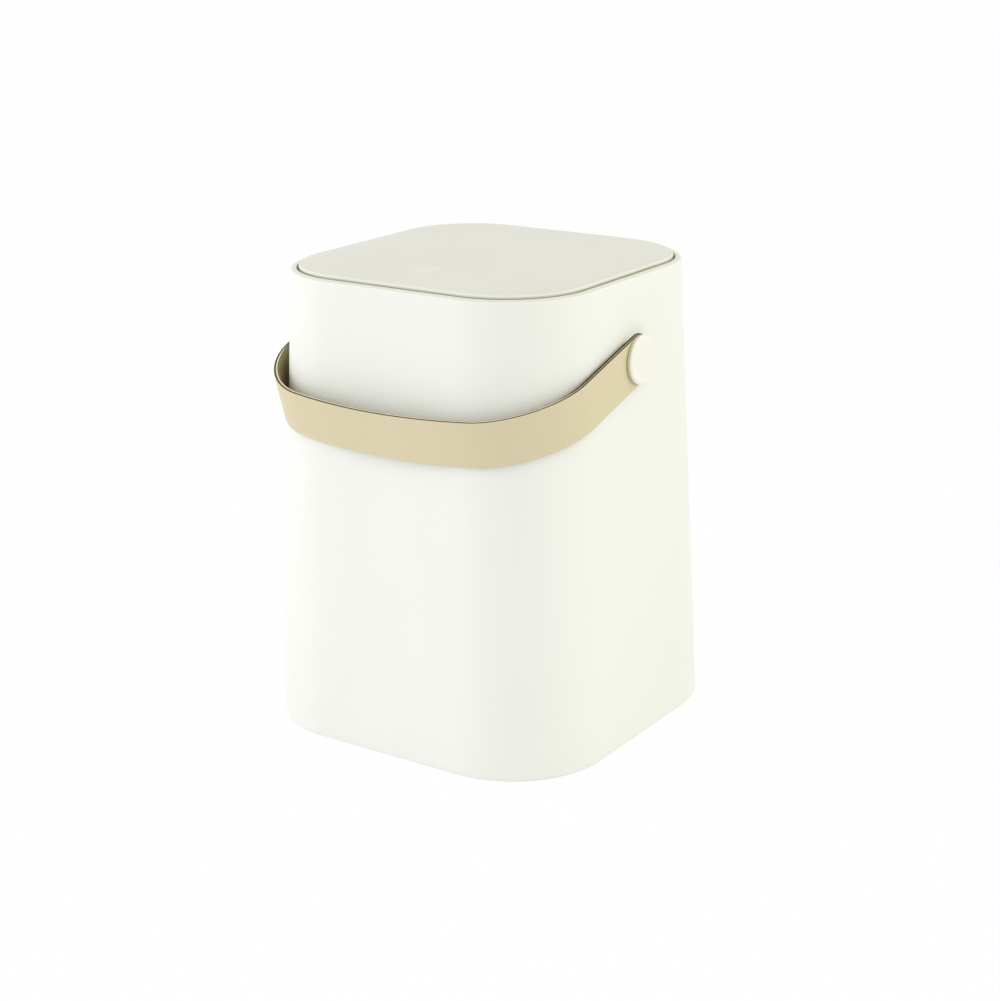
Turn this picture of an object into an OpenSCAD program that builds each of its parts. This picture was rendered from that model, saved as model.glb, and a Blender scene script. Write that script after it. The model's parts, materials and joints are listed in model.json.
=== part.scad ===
// Push top countertop bin: tapered body, lift-out bucket, sprung lid on a touch latch, swing handle.
// Millimetres. Origin at the middle of the footprint, +Z up, front towards -Y.

/* [Body] */
// Width of the body across its base
base_w = 159.6; // [150:0.2:176]
// Width of the body across its rim
rim_w = 142.1; // [139:0.1:148]
// Height of the body from its lower edge to its rim
body_h = 200.8; // [185:0.2:260]
// Corner radius of the body at its base
base_corner_r = 43.7; // [40:0.1:47]
// Wall thickness of the body
body_wall = 2.6; // [2.2:0.1:2.8]
// Radius that rounds the outer edge of the rim
rim_edge_r = 1.2; // [0.6:0.1:1.6]
// Radius that eases the lower edge of the body
foot_edge_r = 0.5; // [0.2:0.1:1]
// Depth of the frame shelf below the rim
shelf_depth = 14.4; // [14:0.1:18]
// Thickness of the frame shelf
shelf_t = 2.4; // [2:0.1:4]
// Width of the frame shelf, from the inside of the wall
shelf_w = 7; // [5:0.1:9]
// How far the screw posts run on beyond the screws' tips
post_tip = 2; // [1:0.5:4]
// How far the base posts, and the shelf's edge before the latch, reach into the wall
wall_lap = 0.4; // [0.2:0.1:0.8]

/* [Lid] */
// Gap between the lid and the rim
lid_gap = 0.9; // [0.7:0.05:1.2]
// How far the lid's side wall stands proud of the rim
lid_proud = 0.5; // [0.3:0.1:1]
// Radius that rounds the lid's upper edge
lid_edge_r = 1.1; // [0.8:0.1:1.5]
// Rise of the lid's crown above its rounded edge
crown_h = 2.4; // [2.2:0.1:4]
// Distance over which the crown swells up from the edge
crown_run = 6.5; // [5:0.5:8]
// Thickness of the lid's top skin
lid_skin = 2; // [1.6:0.1:2.2]
// Thickness of the lid's side wall
skirt_t = 1.8; // [1.4:0.1:2]
// Depth below the rim of the lid's side wall and of its inner cover, which end flush
skirt_depth = 5.8; // [5.6:0.1:6.2]
// Diameter of the push dimple
dimple_d = 12; // [8:0.5:16]
// Depth of the push dimple
dimple_depth = 0.5; // [0.3:0.05:0.7]
// Distance of the push dimple's centre from the lid's front edge
dimple_inset = 22; // [18:0.5:30]
// Thickness of the lid's inner cover
liner_t = 1.6; // [1.4:0.1:2]
// Clearance of the inner cover inside the lid's side wall
liner_gap = 0.2; // [0.1:0.05:0.4]
// Gap between the inner cover's back edge and the hinge ears
liner_back_gap = 1.6; // [1:0.1:3]
// Distance of the inner cover's screws from the lid's edges
liner_screw_inset = 20; // [18:0.5:24]

/* [Frame] */
// Thickness of the top frame's plate
frame_t = 3; // [2.6:0.1:4]
// Clearance of the top frame inside the body
frame_gap = 0.3; // [0.2:0.05:0.5]
// Depth of the guide collar under the top frame
collar_h = 6; // [3:0.5:12]
// Wall thickness of the guide collar
collar_t = 1.8; // [1.2:0.1:2]
// Gap between the guide collar and the latch
collar_clear = 1.05; // [0.6:0.05:3]
// Distance between the frame screws' heads and the frame's corners
frame_screw_edge = 3.2; // [2.4:0.1:4]

/* [Bucket] */
// Inward slope of the bucket's wall, from its flange to its bottom
bucket_draft = 7; // [5:0.5:14]
// Corner radius of the bucket under its flange
bucket_corner_r = 25; // [18:0.5:30]
// Wall thickness of the bucket
bucket_wall = 1.5; // [1.2:0.1:2]
// Width of the bucket's flange
flange_w = 4.4; // [3.5:0.1:4.5]
// Thickness of the bucket's flange
flange_t = 2; // [1.5:0.1:2.5]
// Radius that rounds the bucket's bottom edge
bucket_edge_r = 7; // [3:0.5:9]
// Clearance of the bucket in the frame
bucket_gap = 0.8; // [0.6:0.1:1]
// Clearance under the bucket
bucket_under = 3; // [2:0.5:10]

/* [Hinge] */
// Distance of the hinge axis from the lid's back edge
hinge_inset = 6.1; // [6:0.1:6.6]
// Distance of the hinge axis below the rim
hinge_drop = 0.3; // [0.2:0.05:0.5]
// Diameter of the hinge pin
hinge_pin_d = 2; // [1.8:0.1:2.2]
// Length of the hinge pin
hinge_pin_l = 68; // [64:1:76]
// Radial clearance of the lid's barrels on the pin
hinge_run_gap = 0.05; // [0.03:0.01:0.08]
// Radial clearance of the frame's ears on the pin
hinge_seat_gap = 0.02; // [0.01:0.01:0.04]
// Wall thickness round the pin in the frame's ears
ear_wall = 1; // [0.8:0.1:1.1]
// Width of each hinge ear
ear_w = 4; // [3:0.5:5]
// Outer radius of the lid's hinge barrels
barrel_r = 2.6; // [2.4:0.1:2.8]
// Width of each hinge barrel
barrel_w = 10; // [8:0.5:10]
// Gap between an ear and a barrel along the pin
ear_gap = 0.5; // [0.3:0.1:1]
// Clearance round the ears and the springs inside the lid
hinge_room = 0.3; // [0.2:0.05:0.4]
// Wire diameter of the hinge springs
hinge_wire_d = 0.7; // [0.6:0.05:0.75]
// Turns of each hinge spring
hinge_turns = 6; // [4:1:7]
// Length of the hinge springs' upper legs
hinge_leg = 7; // [5:0.5:7]
// Gap between the turns of the hinge springs
hinge_turn_gap = 0.45; // [0.3:0.05:0.6]
// Height above the shelf at which the hinge springs' lower legs end
hinge_foot = 0.5; // [0.4:0.1:1]
// Radial clearance of the hinge springs' lower legs in the frame
hinge_foot_gap = 0.2; // [0.1:0.05:0.3]
// Room inside the lid beside the outer ears
hinge_side_room = 4; // [3:0.5:6]

/* [Latch] */
// Width of the latch plunger
plunger_w = 8; // [7.6:0.1:8.4]
// Depth of the latch plunger from front to back
plunger_d = 6; // [5.8:0.1:6.1]
// Length of the latch plunger
plunger_l = 17.5; // [16:0.5:19]
// Clearance of the plunger in its guide
plunger_gap = 0.2; // [0.15:0.05:0.25]
// Distance of the latch's centre from the lid's front edge
latch_inset = 5.4; // [5.3:0.05:5.5]
// Travel of the plunger when it is pressed
press_travel = 1.5; // [1:0.1:1.6]
// Travel of the plunger when it is let go
pop_travel = 5; // [4:0.5:5.5]
// Wall thickness of the latch housing
housing_wall = 1.3; // [1.1:0.1:1.4]
// Thickness of the latch housing's floor
housing_floor = 2.4; // [2:0.1:4]
// Space for the spring under the plunger
spring_room = 10; // [9:0.5:12]
// Distance of the latch spring's turns from the plunger's front and back
spring_inset = 0.4; // [0.2:0.1:0.6]
// Thickness of the latch housing's lugs
latch_lug_t = 2.4; // [2:0.1:3]
// Edge of the lugs round their screws' heads
latch_lug_edge = 1.2; // [1:0.1:1.5]
// Depth of the latch screws' tips below the frame's upper face
latch_tip_depth = 0.8; // [0.6:0.1:1.2]
// Room beside the lugs in the body's shelf
latch_side_room = 1; // [0.5:0.1:2]
// Diameter of the latch magnet
magnet_d = 5; // [4:0.1:5.2]
// Thickness of the latch magnet
magnet_t = 1.6; // [1:0.1:2.5]
// Gap between the magnet and the strike plate
strike_gap = 0.1; // [0.05:0.05:0.3]
// Thickness of the strike plate
strike_t = 1; // [0.8:0.1:1.2]
// Width of the strike plate
strike_w = 12; // [10:0.5:14]
// Wall thickness round the strike plate in the inner cover
strike_wall = 1.6; // [1.2:0.1:2]
// Clearance of the strike plate in the inner cover
strike_seat_gap = 0.05; // [0.03:0.01:0.1]
// Wire diameter of the latch spring
latch_wire_d = 0.6; // [0.4:0.05:0.7]
// Turns of the latch spring
latch_turns = 7; // [5:1:8]
// Width of the heart-shaped cam track
track_w = 1.1; // [1:0.05:1.2]
// Depth of the cam track
track_depth = 1.1; // [0.9:0.1:1.5]
// Height of the track's lowest point above the plunger's lower end
track_foot = 1.6; // [1.2:0.1:2]
// Wire diameter of the cam follower
follower_d = 0.8; // [0.6:0.05:0.8]
// Distance of the track's two lanes from its middle
heart_lane = 1.35; // [1.3:0.05:1.5]
// Depth below the notch at which the lanes turn in towards the track's lowest point
heart_turn = 1.6; // [1.2:0.1:2]
// Gap between the cam follower and the sides of its slot
follower_gap = 0.15; // [0.1:0.05:0.2]
// Length of the cam follower's leg beyond the pop travel
follower_leg = 5; // [4:0.5:6]
// Gap between the cam follower's tip and the bottom of the track
follower_tip_gap = 0.25; // [0.15:0.05:0.4]

/* [Handle] */
// Width of the handle band
band_w = 21.2; // [18:0.1:22]
// Thickness of the handle band
band_t = 1.8; // [1.4:0.1:2]
// Least gap between the band's bar or its corners and the body
bar_clear = 0.1; // [0.1:0.05:3]
// Outer radius of the band's corners
band_corner_r = 32; // [28:0.5:33]
// Outward bow of the bar at its middle
band_bow = 12.8; // [12.5:0.1:18]
// Angle of the handle below level as it rests against the front
band_angle = 16.5; // [15.5:0.1:16.6]
// Depth of the pivot axis below the rim
pivot_drop = 33.8; // [32:0.1:36]
// Gap between the band's arms and the pivot pads
arm_gap = 0.15; // [0.1:0.05:0.3]
// Gap between the band's arms and the wall, where it is widest beside them
arm_clear = 0.25; // [0.2:0.05:0.8]
// Diameter of the pivot buttons
button_d = 20.8; // [18:0.1:21]
// Thickness of the pivot buttons' heads
button_t = 2.3; // [1.8:0.1:3]
// Radius that rounds the pivot buttons' edges
button_edge_r = 1; // [0.5:0.1:1.4]
// Diameter of the pivot buttons' shafts
shaft_d = 8; // [7:0.1:9]
// Radial clearance of the band on the shafts
shaft_run_gap = 0.08; // [0.05:0.01:0.1]
// How far the pivot pads on the wall reach beyond the buttons' edges
pad_rim = 0.9; // [0.4:0.1:1.2]
// Wall thickness of the pivot bearings round the shafts
bearing_wall = 4; // [3:0.5:5]
// Depth of the pivot bearings inside the body
bearing_l = 6; // [4:0.5:8]
// Thickness of the pivot washers
washer_t = 1.2; // [0.8:0.1:2]
// How far the pivot washers reach beyond the shafts
washer_lap = 3; // [2:0.5:4]

/* [Base] */
// How far the base ring lifts the body off the surface
foot_drop = 0.6; // [0.4:0.1:1.5]
// Depth of the base plate's underside above the body's lower edge
base_recess = 0.8; // [0.4:0.1:2]
// Thickness of the base plate
base_t = 3.6; // [3.4:0.1:5]
// Clearance of the base plate inside the body
base_gap = 0.3; // [0.2:0.05:0.5]
// Distance of the base ring from the body's outer edge
ring_inset = 11; // [10.5:0.1:13]
// Width of the base ring
ring_w = 6; // [4:0.5:7]
// Depth of the base ring's groove
ring_groove = 1.6; // [1:0.1:1.8]
// How much rounder the base ring's corners are than an even inset of the body's
ring_ease = 2; // [0:0.5:3]
// Thickness and height of the base plate's ribs
rib_t = 1.6; // [1.2:0.1:2.2]
// Distance of the ribs' ends from the base ring
rib_gap = 3; // [2:0.5:6]

/* [Fasteners] */
// Shank diameter of the screws in the base, frame and pivots
screw_d = 2.9; // [2.5:0.1:3]
// Head diameter of the screws in the base, frame and pivots
screw_head_d = 5.2; // [4.8:0.1:5.4]
// Head height of the screws in the base, frame and pivots
screw_head_h = 1.9; // [1.6:0.1:2]
// Length of the screws in the base and frame
screw_l = 9; // [7:0.5:12]
// Shank diameter of the small screws in the lid and latch
small_d = 2; // [1.8:0.1:2.2]
// Head diameter of the small screws
small_head_d = 3.8; // [3.4:0.1:4]
// Head height of the small screws
small_head_h = 1.3; // [1.1:0.1:1.4]
// Length of the small screws in the lid
small_l = 5; // [4:0.5:5.5]
// Radial clearance of a screw in its boss
screw_gap = 0.05; // [0.03:0.01:0.1]
// Radial clearance of a screw in the piece that it holds
screw_free = 0.3; // [0.2:0.05:0.4]
// Wall thickness round a screw in its boss
boss_wall = 2.4; // [2:0.1:3]
// Wall thickness round a small screw in its boss
small_boss_wall = 1.8; // [1.5:0.1:2.2]
// Depth of the base screws' heads below the base plate's underside
head_sunk = 0.2; // [0.1:0.1:0.4]

/* [Hidden] */
arc_steps = 14;
wire_sides = 6;
wire_steps = 14;
crown_steps = 9;
reach_tries = 4;
cut = 1;
// Least step that keeps two surfaces from falling together
hair = 0.01;
// Half-width of the flat that closes the lid's crown in the middle
crown_flat = 2;
// Distance from the lid's side wall at which the roof of its hollow starts to follow the crown
hollow_ease = 0.4;
// Angle of the hinge springs' upper legs above level, which brings their tips just under the lid
leg_lift = 24;
// Share of the latch spring's height that rises evenly through all its turns, the closed ones included
even_rise = 0.22;
// Room beyond the tip of a screw in a blind hole
tip_room = 0.2;
// Room over the cam follower in its slot
slot_room = 0.4;
$fn = 72;

body_z = foot_drop;
rim_z = body_z + body_h;

// Outer half-width and corner radius of the body at height z
function half_w(z) = (base_w + (rim_w - base_w) * (z - body_z) / body_h) / 2;
function corner_r(z) = base_corner_r * half_w(z) / (base_w / 2);

shelf_z = rim_z - shelf_depth;
frame_z = shelf_z + frame_t;
opening_half = half_w(rim_z) - body_wall;
lid_half = opening_half - lid_gap;
lid_corner_r = corner_r(rim_z) - body_wall - lid_gap;
lid_z = rim_z + lid_proud;
skirt_z = rim_z - skirt_depth;

hinge_y = lid_half - hinge_inset;
hinge_z = rim_z - hinge_drop;
pin_r = hinge_pin_d / 2;
ear_r = pin_r + hinge_seat_gap + ear_wall;
ear_out = hinge_pin_l / 2;
barrel_out = ear_out - ear_w - ear_gap;
ear_in = barrel_out - barrel_w - ear_gap;
hinge_pocket_r = ear_r + hinge_room;
coil_r = ear_r - hinge_wire_d / 2;
coil_out = ear_in - ear_w - hinge_room;
coil_sweep = 360 * hinge_turns - 90 + leg_lift;
coil_l = coil_sweep / 360 * (hinge_wire_d + hinge_turn_gap);
coil_x = coil_out - hinge_wire_d / 2;
coil_foot_y = hinge_y - coil_r;

latch_y = latch_inset - lid_half;
plunger_top = skirt_z - strike_gap;
plunger_z = plunger_top - plunger_l;
housing_w = plunger_w + 2 * (plunger_gap + housing_wall);
housing_d = plunger_d + 2 * (plunger_gap + housing_wall);
housing_z = plunger_z - spring_room - housing_floor;
latch_lug_w = small_head_d + 2 * latch_lug_edge;
latch_screw_x = housing_w / 2 + latch_lug_w / 2;
latch_screw_l = latch_lug_t + frame_t - latch_tip_depth;
notch_z = plunger_z + pop_travel + track_foot;
spring_r = plunger_d / 2 - spring_inset - latch_wire_d / 2;
follower_x = plunger_w / 2;

frame_half = half_w(frame_z) - body_wall - frame_gap;
frame_corner_r = corner_r(frame_z) - body_wall - frame_gap;
// The guide collar comes as close to the latch as collar_clear lets it, and the bucket fills the collar
hole_half = -latch_y - housing_d / 2 - collar_clear - collar_t;
hole_corner_r = bucket_corner_r + bucket_gap;
bucket_w = 2 * (hole_half - bucket_gap);
bucket_base_w = bucket_w - 2 * bucket_draft;

boss_r = screw_d / 2 + boss_wall;
small_boss_r = small_d / 2 + small_boss_wall;
head_r = screw_head_d / 2;
// Diagonal places of the frame and base screws, just inside the body's corners
frame_screw_at = frame_half - frame_corner_r + (frame_corner_r - head_r - frame_screw_edge) * cos(45);
base_screw_at = half_w(body_z) - corner_r(body_z)
    + (corner_r(body_z) - body_wall - boss_r + wall_lap) * cos(45);
liner_screw_at = lid_half - liner_screw_inset;

base_z = body_z + base_recess;
base_top = base_z + base_t;
base_half = half_w(base_top) - body_wall - base_gap;
base_r = corner_r(base_top) - body_wall - base_gap;
ring_half = base_w / 2 - ring_inset;
ring_r = base_corner_r - ring_inset + ring_ease;
base_seat_t = base_t - screw_head_h - head_sunk;

bucket_z = base_top + bucket_under;

pivot_z = rim_z - pivot_drop;
// Height at which the lower edge of an arm leaves the flat of the wall, which is widest there
arm_low_z = pivot_z - (half_w(pivot_z) - corner_r(pivot_z)) * tan(band_angle)
    - band_w / 2 / cos(band_angle);
arm_in = half_w(arm_low_z) + arm_clear;
arm_x = arm_in + band_t;
pad_x = arm_in - arm_gap;
pad_r = button_d / 2 + pad_rim;
pad_root_x = half_w(pivot_z + pad_r) - body_wall / 2;
// Distance of the bar from the pivot axis, before the bow
band_reach = reach_from(half_w(pivot_z), reach_tries);
button_x = arm_x + arm_gap;
shaft_r = shaft_d / 2;
bearing_x = half_w(pivot_z) - bearing_l;
washer_r = shaft_r + washer_lap;

body_color = [0.97, 0.97, 0.95];
lid_color = [0.90, 0.89, 0.84];
cream = [0.96, 0.94, 0.86];
tan_color = [0.87, 0.82, 0.69];
grey = [0.62, 0.62, 0.61];
dark = [0.25, 0.25, 0.26];
steel = [0.72, 0.73, 0.75];

// Points of a rounded square of width w and corner radius r at height z
function ring(w, r, z) = [
    for (q = [0:3])
        for (i = [0:arc_steps])
            let (a = 90 * (q + i / arc_steps), c = w / 2 - r)
            [(q == 0 || q == 3 ? c : -c) + r * cos(a), (q < 2 ? c : -c) + r * sin(a), z]
];

// Solid through a list of such rings, from the lowest to the highest
module loft(rings) {
    n = len(rings[0]);
    m = len(rings);
    points = [for (r = rings) each r];
    sides = [
        for (k = [0:m - 2])
            for (i = [0:n - 1])
                let (j = (i + 1) % n)
                [k * n + i, (k + 1) * n + i, (k + 1) * n + j, k * n + j]
    ];
    bottom = [for (i = [0:n - 1]) i];
    top = [for (i = [n - 1:-1:0]) (m - 1) * n + i];
    polyhedron(points, concat([bottom], sides, [top]), convexity = 8);
}

// Rounded square outline with true arcs
module rounded_square(w, r) {
    square([w, w - 2 * r], center = true);
    square([w - 2 * r, w], center = true);
    for (x = [-1, 1])
        for (y = [-1, 1])
            translate([x * (w / 2 - r), y * (w / 2 - r)]) circle(r);
}

module slab(w, r, z0, z1) {
    translate([0, 0, z0]) linear_extrude(z1 - z0) rounded_square(w, r);
}

module box(x0, x1, y0, y1, z0, z1) {
    translate([x0, y0, z0]) cube([x1 - x0, y1 - y0, z1 - z0]);
}

// Rod along X through the point y, z
module x_rod(x0, x1, y, z, r) {
    translate([x0, y, z]) rotate([0, 90, 0]) cylinder(h = x1 - x0, r = r);
}

// Four copies, each at the distance d along X and along Y from the middle
module at_corners(d) {
    for (x = [-1, 1])
        for (y = [-1, 1])
            translate([x * d, y * d, 0]) children();
}

function cross3(a, b) = [
    a[1] * b[2] - a[2] * b[1],
    a[2] * b[0] - a[0] * b[2],
    a[0] * b[1] - a[1] * b[0]
];
function unit(v) = v / norm(v);

// Round wire of radius r along the points p, whose bends lie round the direction up
module wire(p, r, up) {
    n = wire_sides;
    m = len(p);
    points = [
        for (k = [0:m - 1])
            let (
                t = unit(p[min(k + 1, m - 1)] - p[max(k - 1, 0)]),
                u = unit(cross3(up, t)),
                v = cross3(t, u)
            )
            for (i = [0:n - 1])
                p[k] + r * (cos(360 * i / n) * u + sin(360 * i / n) * v)
    ];
    sides = [
        for (k = [0:m - 2])
            for (i = [0:n - 1])
                let (j = (i + 1) % n, a = k * n, b = (k + 1) * n)
                each [[a + i, b + i, b + j], [a + i, b + j, a + j]]
    ];
    first = [for (i = [0:n - 1]) i];
    last = [for (i = [n - 1:-1:0]) (m - 1) * n + i];
    polyhedron(points, concat([first], sides, [last]), convexity = 12);
}

// Screw with a pan head, its seat at the origin and its shank pointing up
module screw(d, head_d, head_h, l) {
    point_l = d / 2;
    shoulder_r = head_h * 0.45;
    recess_r = d * 0.3;
    recess_h = head_h / 2;
    cylinder(h = l - point_l, r = d / 2);
    translate([0, 0, l - point_l]) cylinder(h = point_l, r1 = d / 2, r2 = d / 8, $fn = 24);
    rotate_extrude()
        difference() {
            translate([0, -head_h]) square([head_d / 2, head_h]);
            translate([head_d / 2 - shoulder_r, -head_h])
                difference() {
                    square(shoulder_r);
                    translate([0, shoulder_r]) circle(shoulder_r, $fn = 40);
                }
            translate([0, -head_h]) square([recess_r, recess_h]);
        }
}

module body_skin() {
    function outer(z, inset) = ring(2 * (half_w(z) - inset), corner_r(z) - inset, z);
    foot = [for (a = [0:45:90]) outer(body_z + foot_edge_r * (1 - cos(a)), foot_edge_r * (1 - sin(a)))];
    rim = [for (a = [0:22.5:90]) outer(rim_z - rim_edge_r * (1 - sin(a)), rim_edge_r * (1 - cos(a)))];
    loft(concat(foot, rim));
}

module body_hollow() {
    function inner(z) = ring(2 * (half_w(z) - body_wall), corner_r(z) - body_wall, z);
    loft([inner(body_z - cut), inner(rim_z + cut)]);
}

// Shelf, screw posts and bearings inside the body, cut to its outline
module body_inner_features() {
    shelf_half = half_w(shelf_z) - body_wall - shelf_w;
    shelf_r = corner_r(shelf_z) - body_wall - shelf_w;
    intersection() {
        body_skin();
        union() {
            difference() {
                slab(
                    2 * half_w(shelf_z) - body_wall, corner_r(shelf_z) - body_wall / 2,
                    shelf_z - shelf_t, shelf_z
                );
                slab(2 * shelf_half, shelf_r, shelf_z - shelf_t - cut, shelf_z + cut);
            }
            at_corners(frame_screw_at) {
                translate([0, 0, shelf_z - screw_l - post_tip])
                    cylinder(h = screw_l + post_tip, r = boss_r);
            }
            at_corners(base_screw_at) {
                translate([0, 0, base_top]) cylinder(h = screw_l + post_tip, r = boss_r);
            }
            for (s = [-1, 1])
                x_rod(
                    s > 0 ? bearing_x : -pad_x, s > 0 ? pad_x : -bearing_x,
                    0, pivot_z, shaft_r + bearing_wall
                );
        }
    }
}

module outer_body() {
    latch_room = latch_screw_x + latch_lug_w / 2 + latch_side_room;
    color(body_color)
    difference() {
        union() {
            difference() {
                body_skin();
                body_hollow();
            }
            body_inner_features();
            for (s = [-1, 1])
                x_rod(s > 0 ? pad_root_x : -pad_x, s > 0 ? pad_x : -pad_root_x, 0, pivot_z, pad_r);
        }
        x_rod(-pad_x - cut, pad_x + cut, 0, pivot_z, shaft_r + screw_gap);
        box(
            -latch_room, latch_room, body_wall + wall_lap - half_w(shelf_z), 0,
            shelf_z - shelf_t - cut, shelf_z + cut
        );
        at_corners(frame_screw_at) {
            translate([0, 0, shelf_z - screw_l]) cylinder(h = screw_l + cut, r = screw_d / 2 + screw_gap);
        }
        at_corners(base_screw_at) {
            translate([0, 0, base_top - cut]) cylinder(h = screw_l + cut, r = screw_d / 2 + screw_gap);
        }
    }
}

module base_plate() {
    rib_half = ring_half - ring_w - rib_gap;
    color(body_color)
    difference() {
        union() {
            slab(2 * base_half, base_r, base_z, base_top);
            for (a = [0, 90])
                rotate([0, 0, a])
                    box(-rib_half, rib_half, -rib_t / 2, rib_t / 2, base_top, base_top + rib_t);
        }
        difference() {
            slab(2 * ring_half, ring_r, base_z - cut, base_z + ring_groove);
            slab(2 * (ring_half - ring_w), ring_r - ring_w, base_z - 2 * cut, base_top);
        }
        at_corners(base_screw_at) {
            translate([0, 0, base_z - cut]) cylinder(h = base_t + 2 * cut, r = screw_d / 2 + screw_free);
            translate([0, 0, base_z - cut])
                cylinder(h = base_t - base_seat_t + cut, r = head_r + screw_free);
        }
    }
}

module base_ring() {
    color(grey)
    difference() {
        slab(2 * ring_half, ring_r, 0, base_z + ring_groove);
        slab(2 * (ring_half - ring_w), ring_r - ring_w, -cut, base_top);
    }
}

module base_screws() {
    color(steel)
    at_corners(base_screw_at) {
        translate([0, 0, base_top - base_seat_t]) screw(screw_d, screw_head_d, screw_head_h, screw_l);
    }
}

// Hinge ear between x0 and x1, standing on the frame behind the bucket
module ear(x0, x1) {
    box(x0, x1, hinge_y - ear_r, hinge_y, frame_z - cut, hinge_z);
    x_rod(x0, x1, hinge_y, hinge_z, ear_r);
}

module top_frame() {
    collar_half = hole_half + collar_t;
    color(lid_color)
    difference() {
        union() {
            slab(2 * frame_half, frame_corner_r, shelf_z, frame_z);
            slab(2 * collar_half, hole_corner_r + collar_t, shelf_z - collar_h, frame_z);
            for (s = [-1, 1]) {
                ear(s > 0 ? ear_out - ear_w : -ear_out, s > 0 ? ear_out : ear_w - ear_out);
                ear(s > 0 ? ear_in - ear_w : -ear_in, s > 0 ? ear_in : ear_w - ear_in);
            }
        }
        slab(2 * hole_half, hole_corner_r, shelf_z - collar_h - cut, frame_z + cut);
        x_rod(-ear_out - cut, ear_out + cut, hinge_y, hinge_z, pin_r + hinge_seat_gap);
        for (s = [-1, 1])
            translate([s * coil_x, coil_foot_y, shelf_z - cut])
                cylinder(h = frame_t + 2 * cut, r = hinge_wire_d / 2 + hinge_foot_gap);
        box(
            -plunger_w / 2 - plunger_gap, plunger_w / 2 + plunger_gap,
            latch_y - plunger_d / 2 - plunger_gap, latch_y + plunger_d / 2 + plunger_gap,
            shelf_z - cut, frame_z + cut
        );
        at_corners(frame_screw_at) {
            translate([0, 0, shelf_z - cut]) cylinder(h = frame_t + 2 * cut, r = screw_d / 2 + screw_free);
        }
        for (s = [-1, 1])
            translate([s * latch_screw_x, latch_y, shelf_z - cut])
                cylinder(h = latch_screw_l - latch_lug_t + tip_room + cut, r = small_d / 2 + screw_gap);
    }
}

module frame_screws() {
    color(steel)
    at_corners(frame_screw_at) {
        translate([0, 0, frame_z]) mirror([0, 0, 1]) screw(screw_d, screw_head_d, screw_head_h, screw_l);
    }
}

module inner_bucket() {
    function side_w(z) = bucket_base_w + (bucket_w - bucket_base_w) * (z - bucket_z) / (frame_z - bucket_z);
    function side_r(z) = bucket_corner_r * side_w(z) / bucket_w;
    function wall_ring(z, inset) = ring(side_w(z) - 2 * inset, side_r(z) - inset, z);
    // Rings of the rounded bottom edge for a wall set in by t
    function bottom_rings(t) = [
        for (a = [0:22.5:90])
            wall_ring(
                bucket_z + t + (bucket_edge_r - t) * (1 - cos(a)),
                t + (bucket_edge_r - t) * (1 - sin(a))
            )
    ];
    flange_top = frame_z + flange_t;
    color(grey)
    difference() {
        union() {
            loft(concat(
                bottom_rings(0),
                [wall_ring(frame_z, 0), ring(bucket_w, bucket_corner_r, flange_top)]
            ));
            slab(bucket_w + 2 * flange_w, bucket_corner_r + flange_w, frame_z, flange_top);
        }
        loft(concat(bottom_rings(bucket_wall), [wall_ring(flange_top + cut, bucket_wall)]));
    }
}

module hinge_pin() {
    color(steel) x_rod(-ear_out, ear_out, hinge_y, hinge_z, pin_r);
}

// Torsion spring beside the middle: a leg up from the frame, the coil, a leg forward under the lid
module hinge_spring(side) {
    steps = round(coil_sweep / 360 * wire_steps);
    coil = [
        for (i = [0:steps])
            let (a = 180 - coil_sweep * i / steps)
            [
                side * (coil_x - coil_l * i / steps),
                hinge_y + coil_r * cos(a), hinge_z + coil_r * sin(a)
            ]
    ];
    end_a = 180 - coil_sweep;
    foot = [side * coil_x, coil_foot_y, shelf_z + hinge_foot];
    tip = coil[steps] + hinge_leg * [0, sin(end_a), -cos(end_a)];
    color(steel) wire(concat([foot], coil, [tip]), hinge_wire_d / 2, [1, 0, 0]);
}

module hinge_spring_left() {
    hinge_spring(-1);
}

module hinge_spring_right() {
    hinge_spring(1);
}

module latch_housing() {
    cavity_w = plunger_w + 2 * plunger_gap;
    cavity_d = plunger_d + 2 * plunger_gap;
    color(dark)
    difference() {
        union() {
            box(
                -housing_w / 2, housing_w / 2, latch_y - housing_d / 2, latch_y + housing_d / 2,
                housing_z, shelf_z
            );
            box(
                -latch_screw_x - latch_lug_w / 2, latch_screw_x + latch_lug_w / 2,
                latch_y - latch_lug_w / 2, latch_y + latch_lug_w / 2,
                shelf_z - latch_lug_t, shelf_z
            );
        }
        box(
            -cavity_w / 2, cavity_w / 2, latch_y - cavity_d / 2, latch_y + cavity_d / 2,
            housing_z + housing_floor, shelf_z + cut
        );
        for (s = [-1, 1])
            translate([s * latch_screw_x, latch_y, shelf_z - latch_lug_t - cut])
                cylinder(h = latch_lug_t + 2 * cut, r = small_d / 2 + screw_free);
        follower_slot();
    }
}

// Slot in the housing's side wall that holds the follower
module follower_slot() {
    w = follower_d + 2 * follower_gap;
    box(
        follower_x + plunger_gap / 2, housing_w / 2 + cut, latch_y - w / 2, latch_y + w / 2,
        notch_z - pop_travel - follower_leg - w / 2, notch_z + w / 2 + slot_room
    );
}

module latch_screws() {
    color(steel)
    for (s = [-1, 1])
        translate([s * latch_screw_x, latch_y, shelf_z - latch_lug_t])
            screw(small_d, small_head_d, small_head_h, latch_screw_l);
}

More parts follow.
